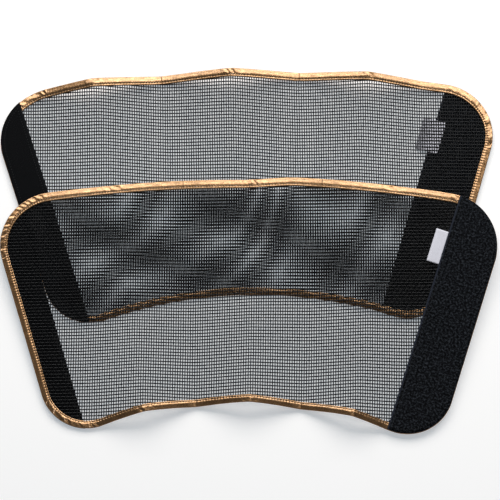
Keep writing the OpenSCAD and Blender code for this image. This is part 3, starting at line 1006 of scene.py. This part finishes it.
def scatter(patch, spacing, margin, seed, jitter):
    """Rows of points over a patch's field, each moved a little at random."""
    flat = patch.screen.flat
    rng = np.random.default_rng(seed)
    rows = np.arange(flat.lowest, flat.crown, spacing)
    across = np.arange(0, patch.width, spacing)
    r, a = np.meshgrid(rows / math.cos(flat.lean), across, indexing="ij")
    r = r + rng.uniform(-jitter, jitter, r.shape) * spacing + (np.arange(len(across)) % 2) * spacing / 2
    a = a + rng.uniform(-jitter, jitter, a.shape) * spacing
    p = r[..., None] * flat.side - a[..., None] * flat.out
    x, y = p[..., 0].ravel(), p[..., 1].ravel()
    keep = patch.field_holds(x, y, margin)
    return x[keep], y[keep], rng


def build_loops(patch):
    """The pile: thousands of small fibre loops that stand on the field."""
    p, base = patch.screen.s.patches, patch.field
    # The rounded ends and the margins take a fifth of the band that the patch lies in
    field_area = patch.width * patch.screen.s.outline.height * 0.8
    x, y, rng = scatter(patch, math.sqrt(field_area / p.loops), p.selvedge * 1.2, SEED + 3, 0.5)
    n = len(x)
    way = rng.uniform(0, 2 * math.pi, n)
    span = rng.uniform(*LOOP_SPANS, n) * MM
    tall = (p.loop_height - base) * rng.uniform(*LOOP_HEIGHTS, n)
    lean = rng.uniform(*LOOP_LEANS, n) * MM
    t = np.array(LOOP_STATIONS)
    arch = np.sin(np.clip(t * 1.08, 0, 1) * math.pi) ** 0.7
    a = ring_of(3)
    thick = p.loop_thread / 2
    run = (t - 0.5)[None, :] * span[:, None]
    sway = arch[None] * lean[:, None]
    c, s = np.cos(way)[:, None], np.sin(way)[:, None]
    side = thick * np.cos(a)
    px = (x[:, None] + run * c - sway * s)[..., None] - side * s[..., None]
    py = (y[:, None] + run * s + sway * c)[..., None] + side * c[..., None]
    pz = (base - 0.1 * MM + arch[None] * tall[:, None])[..., None] + thick * np.sin(a)
    patch.plant("loop_fibres", px, py, pz, len(t), loop_pile())


def build_hooks(patch):
    """Rows of small moulded hooks that stand on the field and curl over."""
    p, base = patch.screen.s.patches, patch.field
    x, y, _ = scatter(patch, p.hook_pitch, p.selvedge * 1.3, SEED + 9, 0.05)
    out, side_way = patch.screen.flat.out, patch.screen.flat.side
    tall = p.hook_height - base
    path = np.array(HOOK_PATH)
    girth = np.array(HOOK_GIRTH)[:, None] * MM
    turn = np.where(np.arange(len(x)) % 2 == 0, 1.0, -1.0)
    a = ring_of(4, 0.5)
    along = (turn[:, None] * path[:, 0] * tall)[..., None] + girth * np.cos(a) * 0.8
    across = np.broadcast_to(girth * np.sin(a), along.shape)
    up = np.broadcast_to((base + path[:, 1] * tall)[:, None], along.shape)
    px = x[:, None, None] + along * side_way[0] + across * out[0]
    py = y[:, None, None] + along * side_way[1] + across * out[1]
    patch.plant("hooks", px, py, up, len(path), hook_tape())


def build_seam(patch):
    """Stitches round a patch, just inside its edge, in the groove that they pull."""
    p, b = patch.screen.s.patches, patch.screen.s.binding
    line = patch.loop_at(p.seam, 400, 160)
    line = np.concatenate([line, line[:1]])
    along = distances(line)
    n = round(along[-1] / b.stitch_pitch)
    at = np.arange(n) * along[-1] / n
    here = points_at(at, along, line)
    way = points_at((at + MM) % along[-1], along, line) - here
    way /= np.hypot(*way.T)[:, None]
    (cx, cy), (wx, wy) = here.T[..., None], way.T[..., None]
    a, c, u, faces = stitch_form(b.stitch_length, b.thread * 1.1)
    height = patch.groove + 0.05 * MM + np.repeat(u[None], n, 0)
    points = patch.put(cx + wx * a - wy * c, cy + wy * a + wx * c, height).reshape(-1, 3)
    piece = make_piece(f"{patch.screen.name}_{patch.kind}_seam", points, many(faces, n, len(a)))
    patch.finish(piece, sewing_thread("patch thread", settings().colours.black_thread), "thread")


def build_patch(screen, kind):
    """A whole patch: its body, its loops or hooks, and its seam."""
    p = screen.s.patches
    patch = Patch(screen, kind)
    field, groove, is_loop = patch.field, patch.groove, patch.is_loop
    bevel, trench, shoulder, clear = 0.12 * MM, 0.3 * MM, 0.9 * MM, 2.5 * MM
    deepest = patch.width / 2 - 1.5 * MM
    # The seat and the backing, the step up from the selvedge, the groove of the seam, and the field
    profile = [(0.15 * MM, 0.0), (0.0, bevel), (0.0, p.backing - bevel), (0.14 * MM, p.backing)]
    profile += [(p.selvedge - 0.1 * MM, p.backing), (p.selvedge + 0.25 * MM, field)]
    profile += [(p.seam - shoulder, field), (p.seam - trench, groove)]
    profile += [(p.seam + trench, groove), (p.seam + shoulder, field)]
    profile += [(d, field) for d in np.linspace(p.seam + clear, deepest, 7 if is_loop else 4)]
    material = loop_pile() if is_loop else hook_tape()
    patch_body(patch, profile, material, 0.12 * MM if is_loop else 0.03 * MM)
    (build_loops if is_loop else build_hooks)(patch)
    build_seam(patch)


# ---------------------------------------------------------------- the label


def build_label(screen):
    """The bare satin size label: a folded ribbon whose free edge curls up a little beside the patch."""
    s, flat = screen.s.label, screen.flat
    columns, rows, edge_round = 25, 31, 0.25 * MM
    gu, gv = np.meshgrid(np.linspace(0, 1, columns), np.linspace(0, 1, rows), indexing="ij")
    across = -(screen.loop_width + s.show) + gu * s.width
    along = flat.crown - s.drop - s.length + gv * s.length
    x = across * math.cos(flat.lean) + along * math.sin(flat.lean)
    y = -across * math.sin(flat.lean) + along * math.cos(flat.lean)
    # Its free edge curls away in a slow wave that grows along it, and all its edges are round
    free = smooth(1 - gu * s.width / s.show)
    wave = 1 + 0.35 * np.sin(gv * 5.1 + 0.6) * (0.4 + 0.6 * gv)
    base = screen.s.cloth.thickness / 2 + screen.s.binding.fit + s.curl * free * wave
    edge = np.minimum.reduce([gu * s.width, gv * s.length, (1 - gv) * s.length]) / edge_round
    half = s.thickness / 2 * np.sqrt(np.clip(1 - (1 - np.clip(edge, 0, 1)) ** 2, 0.03, 1))
    middle = base + s.thickness / 2
    faces_at = [screen.right_lift + screen.loop_face * (middle + side) for side in (half, -half)]
    points = np.concatenate([screen.place(x, y, z).reshape(-1, 3) for z in faces_at])
    places = np.stack([gu * s.width / MM, gv * s.length / MM], -1).reshape(-1, 2)
    i, j = np.meshgrid(np.arange(columns - 1), np.arange(rows - 1), indexing="ij")
    n = columns * rows
    a = (i * rows + j).ravel()
    upper = np.stack([a, a + rows, a + rows + 1, a + 1], -1)
    last = (columns - 1) * rows
    rims = (0, last, rows), (last, n - 1, 1), (n - 1, rows - 1, -rows), (rows - 1, 0, -1)
    rim = np.concatenate([np.arange(*r) for r in rims])
    nxt = np.roll(rim, -1)
    faces = [upper, upper[:, ::-1] + n, np.stack([rim, rim + n, nxt + n, nxt], -1)]
    piece = make_piece(f"{screen.name}_label_ribbon", points, faces, np.concatenate([places, places]))
    dress(piece, satin_ribbon())
    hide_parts(f"{screen.name}_label")
    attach(piece, f"{screen.name}_section_4")


# ---------------------------------------------------------------- finishes


class Finish:
    """A node tree in the making, with short ways to add and join nodes."""

    def __init__(self, tree):
        self.tree = tree

    def add(self, kind, **values):
        """Adds a node. Values are its settings, or its inputs by names with underscores for spaces."""
        node = self.tree.nodes.new(kind)
        for name, value in values.items():
            if hasattr(node, name):
                setattr(node, name, value)
            else:
                node.inputs[name.replace("_", " ")].default_value = value
        return node

    def join(self, source, target):
        """Joins an output to an input."""
        self.tree.links.new(source, target)

    def feed(self, node, **values):
        """Joins sockets to a node's inputs, named likewise, or sets constants on them."""
        for name, value in values.items():
            socket = node.inputs[name.replace("_", " ")]
            if hasattr(value, "is_output"):
                self.join(value, socket)
            else:
                socket.default_value = value

    def math(self, operation, a, b=None):
        """A Math node on sockets or numbers."""
        node = self.add("ShaderNodeMath", operation=operation)
        for socket, value in zip(node.inputs, (a, b)):
            if isinstance(value, (int, float)):
                socket.default_value = value
            elif value is not None:
                self.join(value, socket)
        return node.outputs[0]

    def blend(self, mask, a, b):
        """A colour mix by a mask. Colours are sockets or linear triples."""
        node = self.add("ShaderNodeMix", data_type="RGBA")
        self.join(mask, node.inputs["Factor"])
        for name, value in (("A", a), ("B", b)):
            socket = next(i for i in node.inputs if i.name == name and i.type == "RGBA")
            if hasattr(value, "is_output"):
                self.join(value, socket)
            else:
                socket.default_value = (*value, 1.0)
        return next(o for o in node.outputs if o.type == "RGBA")

    def scale(self, value, low, high, from_low=0.0, from_high=1.0):
        """Brings a value from one range to another."""
        node = self.add("ShaderNodeMapRange", From_Min=from_low, From_Max=from_high, To_Min=low, To_Max=high)
        self.join(value, node.inputs["Value"])
        return node.outputs["Result"]

    def raise_surface(self, shader, height, depth, strength):
        """Feeds a height into the shader's normal."""
        bump = self.add("ShaderNodeBump", Strength=strength, Distance=depth)
        self.feed(bump, Height=height)
        self.feed(shader, Normal=bump.outputs[0])

    def vary(self, shader, mask, dark, light, rough):
        """A colour and a roughness that both follow a mask."""
        self.feed(shader, Base_Color=self.blend(mask, dark, light), Roughness=self.scale(mask, *rough))

    def group(self, tree, vector, **values):
        """Places a shared effect, fed with coordinates."""
        node = self.add("ShaderNodeGroup")
        node.node_tree = tree
        self.feed(node, Vector=vector, **values)
        return node


def shared_effect(name, inputs, outputs, build):
    """A node group with named inputs and outputs, built once."""
    if name in bpy.data.node_groups:
        return bpy.data.node_groups[name]
    tree = bpy.data.node_groups.new(name, "ShaderNodeTree")
    tree.interface.new_socket("Vector", in_out="INPUT", socket_type="NodeSocketVector")
    for text, default in inputs.items():
        socket = tree.interface.new_socket(text, in_out="INPUT", socket_type="NodeSocketFloat")
        socket.default_value = default
    for text in outputs:
        tree.interface.new_socket(text, in_out="OUTPUT", socket_type="NodeSocketFloat")
    f = Finish(tree)
    build(f, f.add("NodeGroupInput"), f.add("NodeGroupOutput"))
    return tree


def fine_grain():
    """Small uneven grain, as a mask and a height."""

    def build(f, given, out):
        vector, scale = given.outputs["Vector"], given.outputs["Scale"]
        coarse = f.add("ShaderNodeTexNoise", Detail=3.0, Roughness=0.6)
        fine = f.add("ShaderNodeTexNoise", Detail=1.0)
        f.feed(coarse, Vector=vector, Scale=scale)
        f.feed(fine, Vector=vector, Scale=f.math("MULTIPLY", scale, 4.0))
        both = f.math("ADD", coarse.outputs[0], f.math("MULTIPLY", fine.outputs[0], 0.4))
        centred = f.math("MULTIPLY", f.math("SUBTRACT", both, 0.7), given.outputs["Contrast"])
        f.feed(out, Mask=f.math("ADD", centred, 0.5), Height=both)

    return shared_effect("Fine grain", {"Scale": 1.0, "Contrast": 1.0}, ("Mask", "Height"), build)


def plain_weave():
    """A plain over and under weave, as a height and a mask, its threads counted along the coordinates."""

    def build(f, given, out):
        split = f.add("ShaderNodeSeparateXYZ")
        f.join(given.outputs["Vector"], split.inputs[0])
        u = f.math("MULTIPLY", split.outputs[0], given.outputs["Across"])
        v = f.math("MULTIPLY", split.outputs[1], given.outputs["Along"])
        wave_u = f.math("SINE", f.math("MULTIPLY", u, math.pi))
        wave_v = f.math("SINE", f.math("MULTIPLY", v, math.pi))
        both = f.math("MULTIPLY", wave_u, wave_v)
        f.feed(out, Height=f.math("ABSOLUTE", both), Mask=f.scale(both, 0.0, 1.0, -1.0, 1.0))

    return shared_effect("Plain weave", {"Across": 1.0, "Along": 1.0}, ("Height", "Mask"), build)


def bare_material(name):
    """A new material whose nodes are still to come, as a finish in the making, and its output."""
    material = bpy.data.materials.new(name)
    material.use_nodes = True
    material.node_tree.nodes.clear()
    f = Finish(material.node_tree)
    return material, f, f.add("ShaderNodeOutputMaterial")


def finish_of(name, build):
    """A material by name, built the first time it is asked for."""
    if name in bpy.data.materials:
        return bpy.data.materials[name]
    material, f, out = bare_material(name)
    shader = f.add("ShaderNodeBsdfPrincipled")
    f.feed(out, Surface=shader.outputs[0])
    uv = f.add("ShaderNodeUVMap", uv_map="lay")
    build(f, shader, uv.outputs[0])
    return material


def shade(tone, factor):
    """A colour made darker or lighter."""
    return tuple(min(1.0, v * factor) for v in tone)


def coated_mesh():
    """Black vinyl-coated strands, satin, with uneven coating."""
    tone = settings().colours.mesh

    def build(f, shader, uv):
        grain = f.group(fine_grain(), uv, Scale=1.6, Contrast=1.6)
        f.vary(shader, grain.outputs["Mask"], shade(tone, 0.6), shade(tone, 1.9), (0.14, 0.26))
        f.feed(shader, Specular_IOR_Level=0.3)
        f.raise_surface(shader, grain.outputs["Height"], 0.08 * MM, 0.5)

    return finish_of("Coated mesh", build)


def bronze_foil():
    """Crinkled metallic bronze foil on tape, with fine streaks along it and wear on its fold."""
    c = settings().colours

    def build(f, shader, uv):
        stretch = f.add("ShaderNodeMapping", vector_type="POINT")
        f.feed(stretch, Vector=uv, Scale=(0.12, 1.6, 1.0))
        streaks = f.group(fine_grain(), stretch.outputs[0], Scale=1.0, Contrast=2.2)
        cloud = f.group(fine_grain(), uv, Scale=0.16, Contrast=1.8)
        mask = f.math("MULTIPLY", streaks.outputs["Mask"], f.scale(cloud.outputs["Mask"], 0.55, 1.25))
        f.feed(shader, Base_Color=f.blend(mask, c.foil_deep, c.foil), Metallic=0.92)
        f.feed(shader, Roughness=f.scale(streaks.outputs["Mask"], 0.38, 0.22))
        f.feed(shader, Coat_Weight=0.5, Coat_Roughness=0.08)
        f.raise_surface(shader, streaks.outputs["Height"], 0.2 * MM, 0.35)

    return finish_of("Bronze foil", build)


def sewing_thread(name, tone):
    """Twisted thread."""

    def build(f, shader, uv):
        place = f.add("ShaderNodeTexCoord")
        grain = f.group(fine_grain(), place.outputs["Object"], Scale=2500.0, Contrast=1.5)
        f.vary(shader, grain.outputs["Mask"], shade(tone, 0.6), tuple(tone), (0.5, 0.75))
        f.raise_surface(shader, grain.outputs["Height"], 0.08 * MM, 0.6)

    return finish_of(name.capitalize(), build)


def edge_mask(f, uv, near, far):
    """1 on the straight edge of a patch, fading to 0 further in."""
    split = f.add("ShaderNodeSeparateXYZ")
    f.join(uv, split.inputs[0])
    return f.scale(split.outputs[0], 1.0, 0.0, near, far)


def loop_pile():
    """Near-black brushed pile with blue-grey specks, and a woven selvedge on its straight edge."""
    c = settings().colours

    def build(f, shader, uv):
        specks = f.group(fine_grain(), uv, Scale=0.5, Contrast=3.2)
        mask = specks.outputs["Mask"]
        sparse = f.math("POWER", f.scale(mask, 0.0, 1.0), 3.0)
        pile = f.blend(sparse, shade(c.pile, 0.2), shade(c.pile, 10.0))
        weave = f.group(plain_weave(), uv, Across=2.2, Along=2.2)
        woven = f.blend(weave.outputs["Mask"], shade(c.selvedge, 0.6), c.selvedge)
        tone = f.blend(edge_mask(f, uv, 1.2, 1.7), pile, woven)
        f.feed(shader, Base_Color=tone, Roughness=f.scale(mask, 0.95, 0.7))
        f.feed(shader, Sheen_Weight=0.04, Sheen_Tint=(0.55, 0.65, 0.9, 1.0), Specular_IOR_Level=0.06)
        f.raise_surface(shader, specks.outputs["Height"], 0.8 * MM, 1.0)

    return finish_of("Loop pile", build)


def hook_tape():
    """Smooth black moulded tape, slightly ribbed."""
    tone = settings().colours.hooks

    def build(f, shader, uv):
        grain = f.group(fine_grain(), uv, Scale=0.8, Contrast=1.5)
        f.vary(shader, grain.outputs["Mask"], shade(tone, 0.7), shade(tone, 1.7), (0.6, 0.45))
        f.feed(shader, Specular_IOR_Level=0.04)
        weave = f.group(plain_weave(), uv, Across=1.6, Along=1.6)
        f.raise_surface(shader, weave.outputs["Height"], 0.1 * MM, 0.4)

    return finish_of("Hook tape", build)


def satin_ribbon():
    """White satin ribbon with a fine weave."""
    tone = settings().colours.label

    def build(f, shader, uv):
        weave = f.group(plain_weave(), uv, Across=5.0, Along=2.5)
        grain = f.group(fine_grain(), uv, Scale=0.3, Contrast=0.8)
        woven = f.blend(weave.outputs["Mask"], shade(tone, 0.93), tone)
        f.feed(shader, Base_Color=f.blend(grain.outputs["Mask"], woven, tone))
        f.feed(shader, Roughness=f.scale(weave.outputs["Mask"], 0.5, 0.38))
        f.raise_surface(shader, weave.outputs["Height"], 0.06 * MM, 0.5)

    return finish_of("Satin ribbon", build)


def white_floor():
    """Matt white paper that keeps its shadows. It glows a little for the camera and in reflections."""
    c = settings().colours
    material, f, out = bare_material("White floor")
    paper = f.add("ShaderNodeBsdfDiffuse", Color=(*c.floor, 1.0))
    glow = f.add("ShaderNodeEmission", Color=(*c.glow, 1.0))
    path = f.add("ShaderNodeLightPath")
    seen = f.math("ADD", path.outputs["Is Camera Ray"], path.outputs["Is Glossy Ray"])
    seen = f.math("MINIMUM", f.math("ADD", seen, path.outputs["Is Transmission Ray"]), 1.0)
    f.feed(glow, Strength=seen)
    both = f.add("ShaderNodeAddShader")
    f.join(paper.outputs[0], both.inputs[0])
    f.join(glow.outputs[0], both.inputs[1])
    f.feed(out, Surface=both.outputs[0])
    return material


# ---------------------------------------------------------------- the stage


def soft_light(name, at, size, power):
    """A soft light that is aimed at the middle of the screens."""
    data = bpy.data.lights.new(name, "AREA")
    data.shape = "RECTANGLE"
    data.size, data.size_y = size
    data.energy = power
    light = bpy.data.objects.new(name, data)
    light.location = at
    light.rotation_euler = (-Vector(at)).to_track_quat("-Z", "Y").to_euler()
    bpy.context.scene.collection.objects.link(light)


def build_stage():
    """Floor, lights, room light and camera."""
    s = settings().stage
    scene = bpy.context.scene
    bpy.ops.mesh.primitive_circle_add(vertices=96, radius=s.floor_radius, fill_type="NGON")
    floor = bpy.context.object
    floor.name = "floor"
    floor.location.z = -0.05 * MM
    floor.data.materials.append(white_floor())
    for name, (at, size) in LAMPS.items():
        soft_light(f"{name} light", at, size, getattr(s, f"{name}_power"))
    world = bpy.data.worlds.new("room")
    world.use_nodes = True
    room = world.node_tree.nodes["Background"]
    room.inputs["Color"].default_value = (1.0, 1.0, 1.0, 1.0)
    room.inputs["Strength"].default_value = s.room
    scene.world = world
    data = bpy.data.cameras.new("camera")
    data.sensor_width = 36.0
    data.lens = data.sensor_width * s.distance / s.view_width
    data.clip_end = 50.0
    camera = bpy.data.objects.new("camera", data)
    back = Vector((0, -math.cos(s.elevation), math.sin(s.elevation)))
    camera.location = Vector((s.aim_x, s.aim_y, 0)) + back * s.distance
    camera.rotation_euler = (-back).to_track_quat("-Z", "Y").to_euler()
    scene.collection.objects.link(camera)
    scene.camera = camera
    scene.view_settings.view_transform = "Standard"


# ---------------------------------------------------------------- operators and panel


class SCREENS_OT_stage(bpy.types.Operator):
    """Makes the floor, the lights and the camera"""

    bl_idname = "screens.stage"
    bl_label = "Stage"

    def execute(self, context):
        check_against_frame()
        build_stage()
        return {"FINISHED"}


class BuildsBoth:
    """What the operators of the pieces share: each builds its piece on both screens."""

    def execute(self, context):
        for screen in both_screens():
            self.build(screen)
        return {"FINISHED"}


class SCREENS_OT_mesh(BuildsBoth, bpy.types.Operator):
    """Weaves the mesh cloth of both screens"""

    bl_idname = "screens.mesh"
    bl_label = "Mesh cloth"

    def build(self, screen):
        build_cloth(screen)


class SCREENS_OT_binding(BuildsBoth, bpy.types.Operator):
    """Folds the bronze tape over the edges of both screens"""

    bl_idname = "screens.binding"
    bl_label = "Edge binding"

    def build(self, screen):
        build_binding(screen)


class SCREENS_OT_stitches(BuildsBoth, bpy.types.Operator):
    """Sews the binding of both screens"""

    bl_idname = "screens.stitches"
    bl_label = "Binding stitches"

    def build(self, screen):
        build_stitches(screen)


class SCREENS_OT_loop_patches(BuildsBoth, bpy.types.Operator):
    """Makes the loop patches with their pile and seams"""

    bl_idname = "screens.loop_patches"
    bl_label = "Loop patches"

    def build(self, screen):
        build_patch(screen, "loop")


class SCREENS_OT_hook_patches(BuildsBoth, bpy.types.Operator):
    """Makes the hook patches with their hooks and seams"""

    bl_idname = "screens.hook_patches"
    bl_label = "Hook patches"

    def build(self, screen):
        build_patch(screen, "hook")


class SCREENS_OT_labels(BuildsBoth, bpy.types.Operator):
    """Makes the bare size labels"""

    bl_idname = "screens.labels"
    bl_label = "Size labels"

    def build(self, screen):
        build_label(screen)


class SCREENS_PT_panel(bpy.types.Panel):
    """Lists what the pair of screens is built from"""

    bl_idname = "SCREENS_PT_panel"
    bl_label = "Wrap Screens"
    bl_space_type = "VIEW_3D"
    bl_region_type = "UI"
    bl_category = "Screens"

    def draw(self, context):
        s = context.scene.wrap_screens
        for name in SETS:
            box = self.layout.box()
            box.label(text=name.capitalize())
            group = getattr(s, name)
            for prop in group.bl_rna.properties:
                if prop.identifier not in ("rna_type", "name"):
                    box.prop(group, prop.identifier)
        for operator in OPERATORS:
            self.layout.operator(operator.bl_idname)


SETS = {
    "outline": OutlineSizes,
    "lay": LaySizes,
    "cloth": ClothSizes,
    "binding": BindingSizes,
    "patches": PatchSizes,
    "label": LabelSizes,
    "colours": Colours,
    "stage": StageSizes,
}
OPERATORS = (
    SCREENS_OT_stage,
    SCREENS_OT_mesh,
    SCREENS_OT_binding,
    SCREENS_OT_stitches,
    SCREENS_OT_loop_patches,
    SCREENS_OT_hook_patches,
    SCREENS_OT_labels,
)
CLASSES = (*SETS.values(), WrapScreens, *OPERATORS, SCREENS_PT_panel)


def register():
    """Adds the settings, the operators and the panel."""
    for cls in CLASSES:
        bpy.utils.register_class(cls)
    bpy.types.Scene.wrap_screens = bpy.props.PointerProperty(type=WrapScreens)


def unregister():
    """Takes them away again."""
    del bpy.types.Scene.wrap_screens
    for cls in reversed(CLASSES):
        bpy.utils.unregister_class(cls)


def main():
    """Builds the stage and every piece."""
    register()
    bpy.ops.screens.stage()
    bpy.ops.screens.mesh()
    bpy.ops.screens.binding()
    bpy.ops.screens.stitches()
    bpy.ops.screens.loop_patches()
    bpy.ops.screens.hook_patches()
    bpy.ops.screens.labels()


if __name__ == "__main__":
    main()
